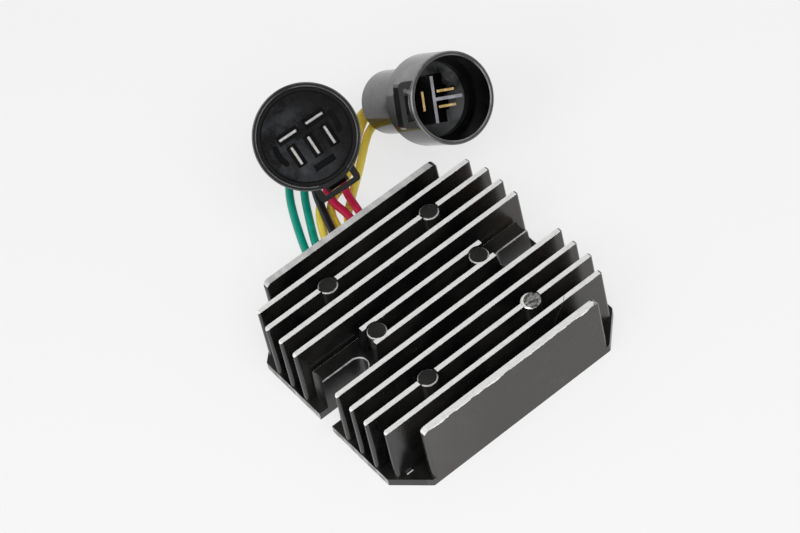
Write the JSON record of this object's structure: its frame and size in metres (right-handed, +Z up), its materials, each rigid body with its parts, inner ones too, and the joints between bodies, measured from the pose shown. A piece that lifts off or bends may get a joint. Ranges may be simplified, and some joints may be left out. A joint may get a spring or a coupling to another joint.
{
  "type": "voltage regulator rectifier",
  "caption": "Finned black heat sink with open bolt slots, holding a potted charging circuit, with coloured leads to a dark and a grey round blade connector.",
  "frame": {"origin": "bottom centre of the heat sink, on the plane that it is bolted down on", "axes": "+X along the fins, towards the picture's upper right; +Y towards the side that the leads leave by; +Z up out of the base"},
  "size_m": [0.112, 0.1409, 0.0563],
  "materials": {
    "black_paint": "satin",
    "potting": "matt",
    "board_metal": "matt",
    "package_black": "matt",
    "copper": "satin",
    "capacitor_can": "satin",
    "ceramic": "matt",
    "diode_glass": "clear",
    "green_insulation": "satin",
    "black_insulation": "satin",
    "yellow_insulation": "satin",
    "red_insulation": "satin",
    "dark_nylon": "satin",
    "grey_nylon": "satin",
    "pale_nylon": "satin",
    "tinned_blade": "bright",
    "brass_blade": "bright",
    "seal_rubber": "matt"
  },
  "bodies": {
    "root": {"circuit_board": "board_metal", "control_chip": "package_black", "diode_1": "package_black", "diode_2": "package_black", "diode_3": "package_black", "filter_capacitor": "ceramic", "five_way_blade_1": "tinned_blade", "five_way_blade_2": "tinned_blade", "five_way_blade_3": "tinned_blade", "five_way_blade_4": "tinned_blade", "five_way_blade_5": "tinned_blade", "five_way_housing": "dark_nylon", "five_way_seal": "seal_rubber", "gate_resistor_1": "ceramic", "gate_resistor_2": "ceramic", "gate_resistor_3": "ceramic", "heat_sink": "black_paint", "lead_tab_1": "copper", "lead_tab_2": "copper", "lead_tab_3": "copper", "lead_tab_4": "copper", "lead_tab_5": "copper", "lead_tab_6": "copper", "lead_tab_7": "copper", "lead_tab_8": "copper", "potting_compound": "potting", "storage_capacitor": "capacitor_can", "three_way_blade_1": "brass_blade", "three_way_blade_2": "brass_blade", "three_way_blade_3": "brass_blade", "three_way_divider": "pale_nylon", "three_way_housing": "grey_nylon", "three_way_seal": "seal_rubber", "thyristor_1": "package_black", "thyristor_2": "package_black", "thyristor_3": "package_black", "wire_black": "black_insulation", "wire_green_1": "green_insulation", "wire_green_2": "green_insulation", "wire_grommet": "seal_rubber", "wire_red_1": "red_insulation", "wire_red_2": "red_insulation", "wire_yellow_1": "yellow_insulation", "wire_yellow_2": "yellow_insulation", "wire_yellow_3": "yellow_insulation", "zener_diode": "diode_glass"}
  },
  "joints": []
}
